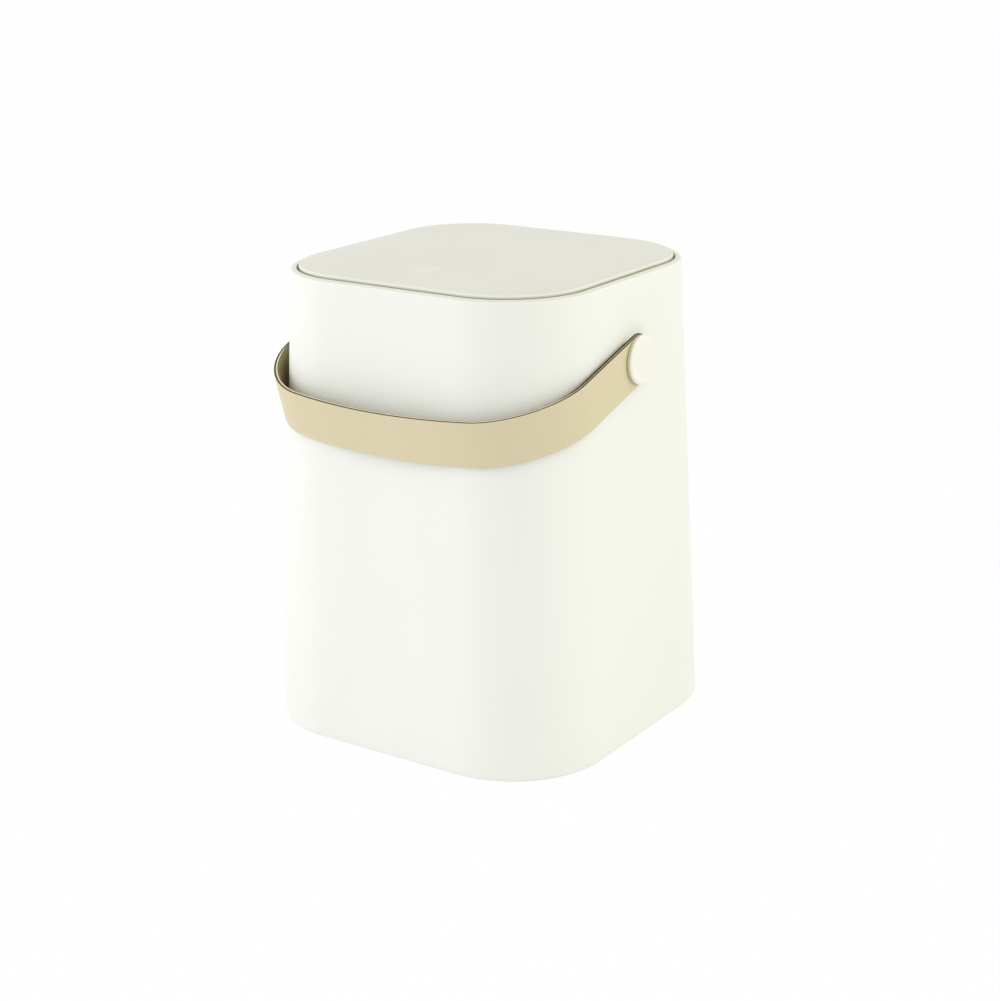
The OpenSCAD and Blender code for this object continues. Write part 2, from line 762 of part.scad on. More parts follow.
module latch_spring() {
    z0 = housing_z + housing_floor + latch_wire_d / 2;
    z1 = plunger_z - latch_wire_d / 2;
    steps = latch_turns * wire_steps;
    coil = [
        for (i = [0:steps])
            let (
                a = 360 * i / wire_steps,
                t = i / steps,
                flat = 1 / latch_turns,
                rise = min(max((t - flat) / (1 - 2 * flat), 0), 1)
            )
            [
                spring_r * cos(a), latch_y + spring_r * sin(a),
                z0 + (z1 - z0) * (rise * (1 - even_rise) + t * even_rise)
            ]
    ];
    color(steel) wire(coil, latch_wire_d / 2, [0, 0, 1]);
}

// Straight run of the cam track between two points on the plunger's side
module track(p, q) {
    d = q - p;
    translate(p) circle(track_w / 2, $fn = 32);
    translate(q) circle(track_w / 2, $fn = 32);
    translate((p + q) / 2) rotate(atan2(d[1], d[0])) square([norm(d), track_w], center = true);
}

// Heart-shaped cam track: the follower rests in its notch and goes once round it from one press to the next
module heart_track() {
    low = [0, -pop_travel];
    top = press_travel + track_w / 2;
    for (x = [-heart_lane, heart_lane]) {
        track(low, [x, -heart_turn]);
        track([x, -heart_turn], [x, top]);
    }
    track([-heart_lane, top], [heart_lane, top]);
    track([0, 0], [0, top]);
}

module latch_plunger() {
    color(cream)
    difference() {
        box(
            -plunger_w / 2, plunger_w / 2, latch_y - plunger_d / 2, latch_y + plunger_d / 2,
            plunger_z, plunger_top
        );
        translate([0, latch_y, plunger_top - magnet_t])
            cylinder(h = magnet_t + cut, r = magnet_d / 2 + screw_gap);
        translate([follower_x - track_depth, latch_y, notch_z])
            rotate([90, 0, 90])
                linear_extrude(track_depth + cut) heart_track();
    }
}

module latch_magnet() {
    color(steel)
    translate([0, latch_y, plunger_top - magnet_t]) cylinder(h = magnet_t, r = magnet_d / 2);
}

// Bent wire that rides in the cam track, its lower end held in the housing wall
module latch_follower() {
    r = follower_d / 2;
    out = housing_w / 2 - r;
    tip = follower_x - track_depth + follower_tip_gap;
    foot_z = notch_z - pop_travel - follower_leg;
    color(steel) {
        x_rod(tip, out, latch_y, notch_z, r);
        translate([out, latch_y, foot_z]) cylinder(h = notch_z - foot_z, r = r);
        translate([out, latch_y, notch_z]) sphere(r);
    }
}

// Height of the lid's surface above the top of its side wall, at the distance s from its edge
function lid_rise(s) = s < lid_edge_r
    ? sqrt(max(lid_edge_r ^ 2 - (lid_edge_r - s) ^ 2, 0))
    : lid_edge_r + crown_h * (1 - exp((lid_edge_r - s) / crown_run));

// Distances from the edge at which the crown is drawn, closer together near the edge
function crown_insets(start) = [
    for (k = [1:crown_steps]) start + (lid_half - start - crown_flat) * (k / crown_steps) ^ 2
];

// Outline of the lid at the distance s from its edge: a true inset down the side wall, then drawn in alike
function lid_ring_r(s) = s <= skirt_t
    ? lid_corner_r - s
    : (lid_corner_r - skirt_t) * (lid_half - s) / (lid_half - skirt_t);
function lid_ring(s, z) = ring(2 * (lid_half - s), lid_ring_r(s), z);

module lid_solid() {
    edge = [for (a = [0:22.5:90]) lid_edge_r * (1 - cos(a))];
    insets = concat(edge, crown_insets(lid_edge_r));
    loft(concat([lid_ring(0, skirt_z)], [for (s = insets) lid_ring(s, lid_z + lid_rise(s))]));
}

module lid_hollow() {
    insets = concat([skirt_t], crown_insets(skirt_t + hollow_ease));
    loft(concat(
        [lid_ring(skirt_t, skirt_z - cut)],
        [for (s = insets) lid_ring(s, lid_z + lid_rise(s) - lid_skin)]
    ));
}

module lid_shell() {
    relief_x = ear_out + hinge_side_room;
    relief_y = hinge_y - barrel_r;
    crown_top = lid_z + lid_edge_r + crown_h;
    dimple_y = dimple_inset - lid_half;
    dimple_z = lid_z + lid_rise(dimple_inset);
    dimple_r = (dimple_d ^ 2 / 4 + dimple_depth ^ 2) / (2 * dimple_depth);
    color(lid_color)
    difference() {
        union() {
            difference() {
                lid_solid();
                lid_hollow();
            }
            intersection() {
                lid_solid();
                union() {
                    for (s = [-1, 1])
                        x_rod(
                            s > 0 ? barrel_out - barrel_w : -barrel_out,
                            s > 0 ? barrel_out : barrel_w - barrel_out, hinge_y, hinge_z, barrel_r
                        );
                    at_corners(liner_screw_at) {
                        translate([0, 0, skirt_z + liner_t])
                            cylinder(h = crown_top - skirt_z, r = small_boss_r);
                    }
                }
            }
        }
        hinge_relief(relief_x, relief_y);
        x_rod(-ear_out, ear_out, hinge_y, hinge_z, pin_r + hinge_run_gap);
        at_corners(liner_screw_at) {
            translate([0, 0, skirt_z]) cylinder(h = small_l, r = small_d / 2 + screw_gap);
        }
        translate([0, dimple_y, dimple_z - dimple_depth + dimple_r]) sphere(dimple_r, $fn = 160);
    }
}

// Space in the lid for the ears and springs: all but the barrels, and the side wall behind the axis
module hinge_relief(relief_x, relief_y) {
    difference() {
        union() {
            box(-relief_x, relief_x, relief_y, lid_half + cut, skirt_z - cut, hinge_z);
            x_rod(-relief_x, relief_x, hinge_y, hinge_z, hinge_pocket_r);
        }
        for (s = [-1, 1])
            x_rod(
                s > 0 ? barrel_out - barrel_w : -barrel_out,
                s > 0 ? barrel_out : barrel_w - barrel_out, hinge_y, hinge_z, barrel_r + hair
            );
    }
}

module lid_liner() {
    liner_half = lid_half - skirt_t - liner_gap;
    liner_r = lid_corner_r - skirt_t - liner_gap;
    back = hinge_y - ear_r - liner_back_gap;
    color(lid_color)
    difference() {
        union() {
            slab(2 * liner_half, liner_r, skirt_z, skirt_z + liner_t);
            box(
                -strike_w / 2 - strike_wall, strike_w / 2 + strike_wall,
                latch_y - plunger_d / 2 - liner_gap, latch_y + plunger_d / 2 + strike_wall,
                skirt_z, skirt_z + strike_t + strike_wall
            );
        }
        box(-lid_half, lid_half, back, lid_half, skirt_z - cut, skirt_z + liner_t + cut);
        box(
            -strike_w / 2 - strike_seat_gap, strike_w / 2 + strike_seat_gap,
            latch_y - plunger_d / 2, latch_y + plunger_d / 2 + strike_seat_gap,
            skirt_z - cut, skirt_z + strike_t
        );
        at_corners(liner_screw_at) {
            translate([0, 0, skirt_z - cut]) cylinder(h = liner_t + 2 * cut, r = small_d / 2 + screw_free);
        }
    }
}

module strike_plate() {
    color(steel)
    box(
        -strike_w / 2, strike_w / 2, latch_y - plunger_d / 2 + strike_seat_gap, latch_y + plunger_d / 2,
        skirt_z, skirt_z + strike_t
    );
}

module liner_screws() {
    color(steel)
    at_corners(liner_screw_at) {
        translate([0, 0, skirt_z]) screw(small_d, small_head_d, small_head_h, small_l);
    }
}

// Outer edge of the band in the plane through the pivots, for a bar at the distance reach: half of it
function band_bowed(x, u, reach) = [x, u + band_bow * (1 - (x / arm_x) ^ 2) * u / reach];
function arm_edge(reach) = [
    for (u = [0:6:reach - band_corner_r - 1]) band_bowed(arm_x, u, reach)
];
function bar_edge(reach) = [
    for (a = [0:5:90])
        band_bowed(
            arm_x - band_corner_r * (1 - cos(a)), reach - band_corner_r * (1 - sin(a)), reach
        ),
    for (k = [1:8]) band_bowed((arm_x - band_corner_r) * (1 - k / 8), reach, reach)
];

// Each point set in square to the edge by the distance t
function set_in(p, t) = [
    for (k = [0:len(p) - 1])
        let (d = unit(p[min(k + 1, len(p) - 1)] - p[max(k - 1, 0)]))
        p[k] + t * [-d[1], d[0]]
];

// Front of the body at height z, at the place x, with the gap g before it
function front_y(x, z, g) =
    let (r = corner_r(z), c = half_w(z) - r)
    x <= c ? c + r + g : c + sqrt(max((r + g) ^ 2 - (x - c) ^ 2, 0));

// How far the bar's lower inner edge is from being clear of the body at rest, and the reach that clears it
function bar_lack(reach) = max([
    for (p = set_in(bar_edge(reach), band_t))
        let (z = pivot_z - p[1] * sin(band_angle) - band_w / 2 * cos(band_angle))
        front_y(p[0], z, bar_clear) - p[1] * cos(band_angle) + band_w / 2 * sin(band_angle)
]);
function reach_from(reach, tries) = tries == 0
    ? reach
    : reach_from(reach + bar_lack(reach) / cos(band_angle), tries - 1);

module handle_strap() {
    outer = concat(arm_edge(band_reach), bar_edge(band_reach));
    inner = set_in(outer, band_t);
    last = len(outer) - 1;
    half = concat(
        outer,
        [[0, inner[last][1]]],
        [for (k = [last - 1:-1:0]) inner[k]]
    );
    color(tan_color)
    translate([0, 0, pivot_z])
    rotate([band_angle, 0, 0])
    difference() {
        union() {
            for (s = [0, 1])
                mirror([s, 0, 0])
                    translate([0, 0, -band_w / 2])
                        linear_extrude(band_w) mirror([0, 1]) polygon(half);
            for (s = [-1, 1])
                x_rod(s > 0 ? arm_in : -arm_x, s > 0 ? arm_x : -arm_in, 0, 0, band_w / 2);
        }
        x_rod(-arm_x - cut, arm_x + cut, 0, 0, shaft_r + shaft_run_gap);
    }
}

module pivot_button(side) {
    e = button_edge_r;
    r = button_d / 2;
    pilot_l = screw_l - washer_t + tip_room;
    color(cream)
    translate([side * button_x, 0, pivot_z])
    rotate([0, side * 90, 0])
    difference() {
        rotate_extrude() {
            square([r, button_t - e]);
            square([r - e, button_t]);
            translate([r - e, button_t - e]) circle(e, $fn = 48);
            translate([0, bearing_x - button_x]) square([shaft_r, button_x - bearing_x]);
        }
        translate([0, 0, bearing_x - button_x - cut])
            cylinder(h = pilot_l + cut, r = screw_d / 2 + screw_gap);
    }
}

module pivot_button_left() {
    pivot_button(-1);
}

module pivot_button_right() {
    pivot_button(1);
}

module pivot_washer(side) {
    color(steel)
    translate([side * bearing_x, 0, pivot_z])
    rotate([0, -side * 90, 0])
    difference() {
        cylinder(h = washer_t, r = washer_r);
        translate([0, 0, -cut]) cylinder(h = washer_t + 2 * cut, r = screw_d / 2 + screw_free);
    }
}

module pivot_washer_left() {
    pivot_washer(-1);
}

module pivot_washer_right() {
    pivot_washer(1);
}

module pivot_screw(side) {
    color(steel)
    translate([side * (bearing_x - washer_t), 0, pivot_z])
    rotate([0, side * 90, 0])
        screw(screw_d, screw_head_d, screw_head_h, screw_l);
}

module pivot_screw_left() {
    pivot_screw(-1);
}

module pivot_screw_right() {
    pivot_screw(1);
}

outer_body();
base_plate();
base_ring();
base_screws();
top_frame();
frame_screws();
inner_bucket();
hinge_pin();
hinge_spring_left();
hinge_spring_right();
latch_housing();
latch_screws();
latch_spring();
latch_follower();
latch_plunger();
latch_magnet();
lid_shell();
lid_liner();
strike_plate();
liner_screws();
handle_strap();
pivot_button_left();
pivot_button_right();
pivot_washer_left();
pivot_washer_right();
pivot_screw_left();
pivot_screw_right();
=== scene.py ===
import json
import math

import bmesh
import bpy
from mathutils import Matrix, Vector

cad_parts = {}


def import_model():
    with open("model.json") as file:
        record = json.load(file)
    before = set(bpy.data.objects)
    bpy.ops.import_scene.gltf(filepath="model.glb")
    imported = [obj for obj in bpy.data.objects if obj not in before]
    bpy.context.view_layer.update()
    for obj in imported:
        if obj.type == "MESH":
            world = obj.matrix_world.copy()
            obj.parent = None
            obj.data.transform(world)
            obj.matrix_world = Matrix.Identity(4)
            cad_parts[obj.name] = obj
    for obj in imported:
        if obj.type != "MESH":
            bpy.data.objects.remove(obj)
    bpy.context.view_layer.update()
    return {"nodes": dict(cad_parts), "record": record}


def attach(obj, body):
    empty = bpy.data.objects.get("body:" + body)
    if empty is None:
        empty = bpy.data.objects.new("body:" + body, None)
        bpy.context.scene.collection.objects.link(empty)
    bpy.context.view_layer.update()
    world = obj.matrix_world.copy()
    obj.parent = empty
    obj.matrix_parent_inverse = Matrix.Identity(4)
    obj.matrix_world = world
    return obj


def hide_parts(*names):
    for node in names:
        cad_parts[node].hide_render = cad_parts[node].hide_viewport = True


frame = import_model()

MM = 0.001
scene = bpy.context.scene
scene.view_settings.view_transform = "Standard"

# Camera: turned 34 degrees to the right of the front and raised 18, with its lengths in millimetres and its focal
# length in points of a picture 1000 by 1001 points
AZIMUTH, ELEVATION, ROLL = (math.radians(a) for a in (34.082, 17.86, -0.492))
DISTANCE, FOCUS_POINTS, PICTURE_H, SENSOR_H = 899.023, 2026.822, 1001, 36
TARGET_RIGHT, TARGET_UP, TARGET_Z = 4.357, -7.177, 100.6


def direction(azimuth, elevation):
    """The way out from the object, turned to the right of its front and raised from level, both in radians."""
    return Vector((
        math.sin(azimuth) * math.cos(elevation), -math.cos(azimuth) * math.cos(elevation), math.sin(elevation)
    ))


def make_camera():
    back = direction(AZIMUTH, ELEVATION)
    right = Vector((math.cos(AZIMUTH), math.sin(AZIMUTH), 0))
    up = back.cross(right)
    place = Vector((0, 0, TARGET_Z)) + right * TARGET_RIGHT + up * TARGET_UP + back * DISTANCE
    x_axis = right * math.cos(ROLL) + up * math.sin(ROLL)
    y_axis = up * math.cos(ROLL) - right * math.sin(ROLL)
    data = bpy.data.cameras.new("camera")
    data.sensor_fit = "VERTICAL"
    data.sensor_height = SENSOR_H
    data.lens = FOCUS_POINTS * SENSOR_H / PICTURE_H
    data.clip_start, data.clip_end = 0.01, 50
    camera = bpy.data.objects.new("camera", data)
    scene.collection.objects.link(camera)
    turn = Matrix((x_axis, y_axis, back)).transposed().to_4x4()
    camera.matrix_world = Matrix.Translation(place * MM) @ turn
    scene.camera = camera


make_camera()

# Sizes in millimetres, as in the solid model unless a line says otherwise

# Body
BODY_Z, BODY_H = 0.6, 200.8
RIM_Z = BODY_Z + BODY_H
BASE_W, RIM_W, BASE_CORNER_R = 159.6, 142.1, 43.7
WALL, WALL_LAP = 2.6, 0.4
RIM_EDGE_R, RIM_LIP_R, FOOT_EDGE_R = 1.2, 0.3, 0.5
SHELF_Z, SHELF_T, SHELF_W = RIM_Z - 14.4, 2.4, 7
FRAME_T, FRAME_GAP, FRAME_SCREW_EDGE = 3, 0.3, 3.2
BASE_RECESS, BASE_T = 0.8, 3.6
LATCH_ROOM = 16.1  # half the width of the shelf's notch for the latch

# Screws: posts and bores for the large ones, and the lid's bosses and bores for the small ones
SCREW_L, SCREW_HEAD_R, PILOT_R, BOSS_R, POST_L = 9, 2.6, 1.5, 3.85, 11
SMALL_L, SMALL_PILOT_R, SMALL_BOSS_R = 5, 1.05, 2.8

# Lid. The push mark's inner part is a dish, given by its shares of the mark's radius and depth
LID_GAP = 0.9
LID_HALF = RIM_W / 2 - WALL - LID_GAP
LID_Z, LID_EDGE_R, CROWN_H, CROWN_RUN = RIM_Z + 0.5, 1.1, 2.4, 6.5
LID_SKIN, SKIRT_T, SKIRT_Z = 2, 1.8, RIM_Z - 5.8
LINER_T, LINER_SCREW_INSET = 1.6, 20
DIMPLE_D, DIMPLE_DEPTH, DIMPLE_INSET = 12, 0.5, 22
DISH_SHARE, DISH_DEPTH_SHARE = 0.82, 0.25

# Hinge
HINGE_Y, HINGE_Z, PIN_R = LID_HALF - 6.1, RIM_Z - 0.3, 1
EAR_R, EAR_W, EAR_GAP, EAR_REACH = 2.02, 4, 0.5, 34
BARREL_R, BARREL_W = 2.6, 10
HINGE_ROOM, HINGE_SIDE_ROOM = 0.3, 4
RUN_GAP = 0.05

# Pivots
PIVOT_Z, BEARING_L, BEARING_WALL = RIM_Z - 33.8, 6, 4
SHAFT_R, SHAFT_RUN_GAP, SHAFT_EDGE, SHAFT_PILOT_L = 4, 0.08, 0.3, 8
BUTTON_R, BUTTON_T, BUTTON_EDGE_R, BUTTON_BEVEL = 10.4, 2.3, 1, 0.15
PAD_R = 9.8  # 11.3 in the solid model: here the pads hide behind the band's ends
ARM_CLEAR, ARM_GAP = 0.25, 0.15

# Band
BAND_W, BAND_T, BAND_CORNER_R, BAND_BOW = 21.2, 1.8, 32, 12.8
BAND_ANGLE = math.radians(16.5)
BAND_REACH = 72.606  # from the pivots to the bar, without its bow
# The rest is only here: the upper edge is narrower by BAND_TRIM, and a dark hem of painted shadow stands out by as
# much
BAND_TRIM, SHADOW_LIP_LEAST, SHADOW_LIP_LOW = 0.5, 0.04, 0.05
SHADE_DEPTH_LEAST, SHADE_DEPTH_MOST = 0.14, 0.42
FADE_END, FADE_RUN = 60, 22  # how far from the pivots the upper hem has faded out, and over what length it fades

CUT = 1  # how far a cutting shape runs on past what it cuts


def half_w(z):
    """Half the body's width at height z."""
    return (BASE_W + (RIM_W - BASE_W) * (z - BODY_Z) / BODY_H) / 2


def corner_r(z):
    """The radius of the body's upright corners at height z."""
    return BASE_CORNER_R * half_w(z) / (BASE_W / 2)


# The arms have to clear the body where their lower edge passes the end of its flat side
ARM_LOW_Z = PIVOT_Z - (half_w(PIVOT_Z) - corner_r(PIVOT_Z)) * math.tan(BAND_ANGLE) - BAND_W / 2 / math.cos(BAND_ANGLE)
ARM_IN = half_w(ARM_LOW_Z) + ARM_CLEAR
ARM_X = ARM_IN + BAND_T
PAD_X = ARM_IN - ARM_GAP
BUTTON_X = ARM_X + ARM_GAP
BEARING_X = half_w(PIVOT_Z) - BEARING_L
LID_CORNER_R = corner_r(RIM_Z) - WALL - LID_GAP


# ---------- shapes ----------

def make_object(name, points, faces, slots=None):
    """A mesh object from points in millimetres."""
    mesh = bpy.data.meshes.new(name)
    mesh.from_pydata([Vector(p) * MM for p in points], [], faces)
    mesh.validate()
    if slots:
        mesh.polygons.foreach_set("material_index", slots)
    obj = bpy.data.objects.new(name, mesh)
    scene.collection.objects.link(obj)
    return obj


def dress(obj, *materials):
    """Gives the object its materials, in the order of its slots."""
    for material in materials:
        obj.data.materials.append(material)


def face_outwards(mesh, weld=False):
    """Turns the faces outwards, and first joins points that coincide where weld is set."""
    b = bmesh.new()
    b.from_mesh(mesh)
    if weld:
        bmesh.ops.remove_doubles(b, verts=b.verts, dist=1e-7)
        bmesh.ops.dissolve_degenerate(b, edges=b.edges, dist=1e-7)
    bmesh.ops.recalc_face_normals(b, faces=b.faces)
    b.to_mesh(mesh)
    b.free()


def tidy_normals(obj, angle=32):
    """Faces outwards and smooth, with sharp edges where they turn by more than the angle."""
    face_outwards(obj.data)
    obj.data.shade_smooth()
    obj.data.set_sharp_from_angle(angle=math.radians(angle))


def steps(a, b, n):
    """n + 1 even steps from a to b."""
    return [a + (b - a) * k / n for k in range(n + 1)]


def quarter(r, step):
    """Pairs along a quarter round, every step degrees: one number grows from 0 to r while the other falls to 0."""
    turns = [math.radians(a) for a in range(0, 91, step)]
    return [(r * (1 - math.cos(a)), r * (1 - math.sin(a))) for a in turns]


def ease(k):
    """k held between 0 and 1, and eased at both ends."""
    k = min(1, max(0, k))
    return k * k * (3 - 2 * k)


def ring(half, r, z, arc=28, flats=(10, 10, 10, 10)):
    """Points of a rounded square at height z, from +X round by +Y.

    arc is the divisions of a corner, and flats are those of the back, left, front and right side.
    """
    c = half - r
    points = []
    for q in range(4):
        cx, cy = (c if q in (0, 3) else -c), (c if q < 2 else -c)
        for i in range(arc + 1):
            a = math.radians(90 * (q + i / arc))
            points.append((cx + r * math.cos(a), cy + r * math.sin(a), z))
        nx, ny = ((-c, c), (-c, -c), (c, -c), (c, c))[q]
        a = math.radians(90 * (q + 1))
        end = Vector((nx + r * math.cos(a), ny + r * math.sin(a), z))
        start = Vector(points[-1])
        for k in range(1, flats[q]):
            points.append(tuple(start.lerp(end, k / flats[q])))
    return points


def skin(rings, closed=False, capped=True):
    """Points and faces of a surface through the rings, closed end to end or else capped."""
    n = len(rings[0])
    points = [p for r in rings for p in r]
    faces = []
    m = len(rings)
    for k in range(m if closed else m - 1):
        for i in range(n):
            j = (i + 1) % n
            a, b = k * n, (k + 1) % m * n
            faces.append((a + i, a + j, b + j, b + i))
    if not closed and capped:
        faces.append(tuple(range(n - 1, -1, -1)))
        faces.append(tuple(range((m - 1) * n, m * n)))
    return points, faces


def rod(p, q, r, sides=48):
    """Points and faces of a rod from p to q."""
    p, q = Vector(p), Vector(q)
    d = (q - p).normalized()
    u = d.orthogonal().normalized()
    v = d.cross(u)
    turn = [2 * math.pi * i / sides for i in range(sides)]
    return skin([[tuple(at + r * (math.cos(a) * u + math.sin(a) * v)) for a in turn] for at in (p, q)])


def cross_rod(x0, x1, y, z, r, sides=48):
    """A rod along X."""
    return rod((x0, y, z), (x1, y, z), r, sides)


def uprights(d, z0, z1, r):
    """Upright rods at the four places that are d from both middle lines."""
    return [rod((x * d, y * d, z0), (x * d, y * d, z1), r) for x in (-1, 1) for y in (-1, 1)]


def block(x0, x1, y0, y1, z0, z1):
    """Points and faces of a box."""
    points = [(x, y, z) for z in (z0, z1) for y in (y0, y1) for x in (x0, x1)]
    return points, [(0, 2, 3, 1), (4, 5, 7, 6), (0, 1, 5, 4), (2, 6, 7, 3), (0, 4, 6, 2), (1, 3, 7, 5)]


def combine(obj, shapes, operation):
    """Cuts closed shapes out of the object, or joins them to it, one after the other."""
    for k, (points, faces) in enumerate(shapes):
        tool = make_object(f"tool_{k}", points, faces)
        face_outwards(tool.data)
        modifier = obj.modifiers.new("tool", "BOOLEAN")
        modifier.operation = operation
        modifier.solver = "EXACT"
        modifier.object = tool
        bpy.context.view_layer.update()
        result = bpy.data.meshes.new_from_object(obj.evaluated_get(bpy.context.evaluated_depsgraph_get()))
        obj.modifiers.clear()
        old = obj.data
        obj.data = result
        bpy.data.meshes.remove(old)
        bpy.data.objects.remove(tool)


# ---------- materials ----------

def colour(r, g, b):
    """A linear colour from one written 0 to 255 on a screen."""
    return tuple(
        (c / 255 / 12.92 if c <= 10 else ((c / 255 + 0.055) / 1.055) ** 2.4) for c in (r, g, b)
    ) + (1,)


def new_material(name):
    """A material with its node tree and its shader."""
    mat = bpy.data.materials.new(name)
    mat.use_nodes = True
    tree = mat.node_tree
    shader = next(n for n in tree.nodes if n.type == "BSDF_PRINCIPLED")
    return mat, tree, shader


def noise(tree, scale, detail, rough, stretch=(1, 1, 1), distort=0):
    """Noise over the object, whose scale is in features a metre."""
    coords = tree.nodes.new("ShaderNodeTexCoord")
    mapping = tree.nodes.new("ShaderNodeMapping")
    mapping.inputs["Scale"].default_value = stretch
    tree.links.new(coords.outputs["Object"], mapping.inputs["Vector"])
    node = tree.nodes.new("ShaderNodeTexNoise")
    node.inputs["Scale"].default_value = scale
    node.inputs["Detail"].default_value = detail
    node.inputs["Roughness"].default_value = rough
    node.inputs["Distortion"].default_value = distort
    tree.links.new(mapping.outputs["Vector"], node.inputs["Vector"])
    return node.outputs["Fac"]


def ramp(tree, value, low, high, a, b):
    """value from low to high turned into the colour a to b."""
    node = tree.nodes.new("ShaderNodeValToRGB")
    node.color_ramp.elements[0].position = low
    node.color_ramp.elements[1].position = high
    node.color_ramp.elements[0].color = a
    node.color_ramp.elements[1].color = b
    tree.links.new(value, node.inputs["Fac"])
    return node.outputs["Color"]


def spread(tree, value, low, high, a, b):
    """value from low to high turned into the number a to b."""
    node = tree.nodes.new("ShaderNodeMapRange")
    for key, number in (("From Min", low), ("From Max", high), ("To Min", a), ("To Max", b)):
        node.inputs[key].default_value = number
    tree.links.new(value, node.inputs["Value"])
    return node.outputs["Result"]


def bumps(tree, shader, layers):
    """Bump from several heights, each (value, distance in metres)."""
    last = None
    for value, distance in layers:
        node = tree.nodes.new("ShaderNodeBump")
        node.inputs["Strength"].default_value = 1
        node.inputs["Distance"].default_value = distance
        tree.links.new(value, node.inputs["Height"])
        if last:
            tree.links.new(last, node.inputs["Normal"])
        last = node.outputs["Normal"]
    tree.links.new(last, shader.inputs["Normal"])


def shade(rgb, factor):
    """The colour made lighter or darker."""
    return tuple(min(1, c * factor) for c in rgb[:3]) + (1,)


def moulded(name, rgb, rough, grain=0.000006, vary=0.012, gloss=0.5):
    """Moulded plastic: fine spark-eroded grain, faint flow marks, slightly uneven gloss and colour."""
    mat, tree, shader = new_material(name)
    flow = noise(tree, 14, 3, 0.45, (1, 1, 0.45), 0.4)
    light = shade(rgb, 1 + vary)
    dark = tuple(c * (1 - vary) * t for c, t in zip(rgb[:3], (1, 1, 0.985))) + (1,)
    base = ramp(tree, flow, 0.3, 0.7, dark, light)
    fine = noise(tree, 5200, 2, 0.6)
    tree.links.new(base, shader.inputs["Base Color"])
    worn = noise(tree, 60, 5, 0.6)
    tree.links.new(spread(tree, worn, 0.3, 0.7, rough - 0.04, rough + 0.05), shader.inputs["Roughness"])
    bumps(tree, shader, [(flow, grain * 6), (fine, grain)])
    shader.inputs["IOR"].default_value = 1.47
    shader.inputs["Specular IOR Level"].default_value = gloss
    return mat


def metal(name, rgb, rough=0.3, stretch=(1, 1, 12), scratch=0.000003):
    """Drawn or plated metal with fine lines and clouded gloss."""
    mat, tree, shader = new_material(name)
    lines = noise(tree, 1800, 3, 0.6, stretch)
    cloud = noise(tree, 120, 4, 0.6)
    base = ramp(tree, cloud, 0.3, 0.7, shade(rgb, 0.9), rgb)
    tree.links.new(base, shader.inputs["Base Color"])
    tree.links.new(spread(tree, cloud, 0.3, 0.7, rough - 0.06, rough + 0.08), shader.inputs["Roughness"])
    bumps(tree, shader, [(lines, scratch)])
    shader.inputs["Metallic"].default_value = 1
    return mat


def rubber(name, rgb):
    """Soft rubber, dull and a little clouded."""
    mat, tree, shader = new_material(name)
    cloud = noise(tree, 90, 5, 0.6)
    fine = noise(tree, 2600, 3, 0.6)
    tree.links.new(ramp(tree, cloud, 0.3, 0.7, shade(rgb, 0.85), rgb), shader.inputs["Base Color"])
    tree.links.new(spread(tree, cloud, 0.3, 0.7, 0.68, 0.84), shader.inputs["Roughness"])
    bumps(tree, shader, [(fine, 0.00001)])
    return mat


WHITE = moulded("body_white", colour(249, 251, 246), 0.46, gloss=0.2)
# A greyer beige for the rim's top
RIM_TOP_TONE = moulded("rim_top_tone", colour(231, 231, 220), 0.5, gloss=0.25)
BEIGE = moulded("lid_beige", colour(226, 225, 217), 0.5, gloss=0.3)
# Lighter than the lid, on its rounded top edge: a painted highlight
LID_EDGE_HIGHLIGHT = moulded("lid_edge_painted_highlight", colour(240, 240, 228), 0.4, gloss=0.4)
# Dark grey on the lid's side wall: painted shade for the gap round the lid
LID_WALL_SHADE = moulded("lid_wall_painted_shade", colour(182, 180, 169), 0.7, grain=0.00001, vary=0.03, gloss=0.15)
# A hair lighter and glossier than the lid: a faint painted highlight in the push mark
MARK_HIGHLIGHT = moulded("lid_mark_painted_highlight", colour(227, 226, 218), 0.3)
TAN = moulded("band_tan", colour(226, 214, 181), 0.5, grain=0.000008, vary=0.02, gloss=0.35)
# Dark brown in the band's edge groove and on the button's bevel: painted shade
SHADE_LINE = moulded("painted_shade_line", colour(100, 87, 66), 0.6, grain=0.000008, vary=0.05, gloss=0.2)
# Darker tan on the band's inner face: painted shade between the band and the body
INNER_SHADE = moulded("band_inner_painted_shade", colour(166, 154, 116), 0.7, grain=0.00001, vary=0.05, gloss=0.15)
CREAM = moulded("button_cream", colour(252, 251, 242), 0.42, gloss=0.3)
# Darker beige on the button head's side: painted shade
BUTTON_SIDE_SHADE = moulded("button_side_painted_shade", colour(212, 210, 181), 0.55, gloss=0.2)
# Near black on the band's proud inner hem: painted shadow of the gap between band and body
GAP_SHADOW = moulded("band_painted_gap_shadow", colour(66, 58, 44), 0.7, grain=0.00001, vary=0.05, gloss=0.15)
GREY = moulded("bucket_grey", colour(172, 172, 170), 0.45, grain=0.00001, vary=0.03)
DARK = moulded("latch_dark", colour(66, 66, 68), 0.5, grain=0.00001, vary=0.06)
RUBBER = rubber("base_rubber", colour(140, 140, 138))
STEEL = metal("steel", colour(196, 198, 202))
NICKEL = metal("magnet_nickel", colour(205, 204, 200), rough=0.16, stretch=(1, 1, 1), scratch=0.000001)
SLOTS = {
    "body_white": WHITE, "lid_beige": BEIGE, "band_tan": TAN, "button_cream": CREAM, "bucket_grey": GREY,
    "latch_dark": DARK, "base_rubber": RUBBER, "steel": STEEL, "magnet_nickel": NICKEL,
}


def finish(obj, body, slot, *nodes):
    """The object rides on its body and stands for its nodes, and takes its slot's material if it has none."""
    if not obj.data.materials:
        dress(obj, SLOTS[slot])
    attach(obj, body)
    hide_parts(*nodes)


# ---------- body ----------

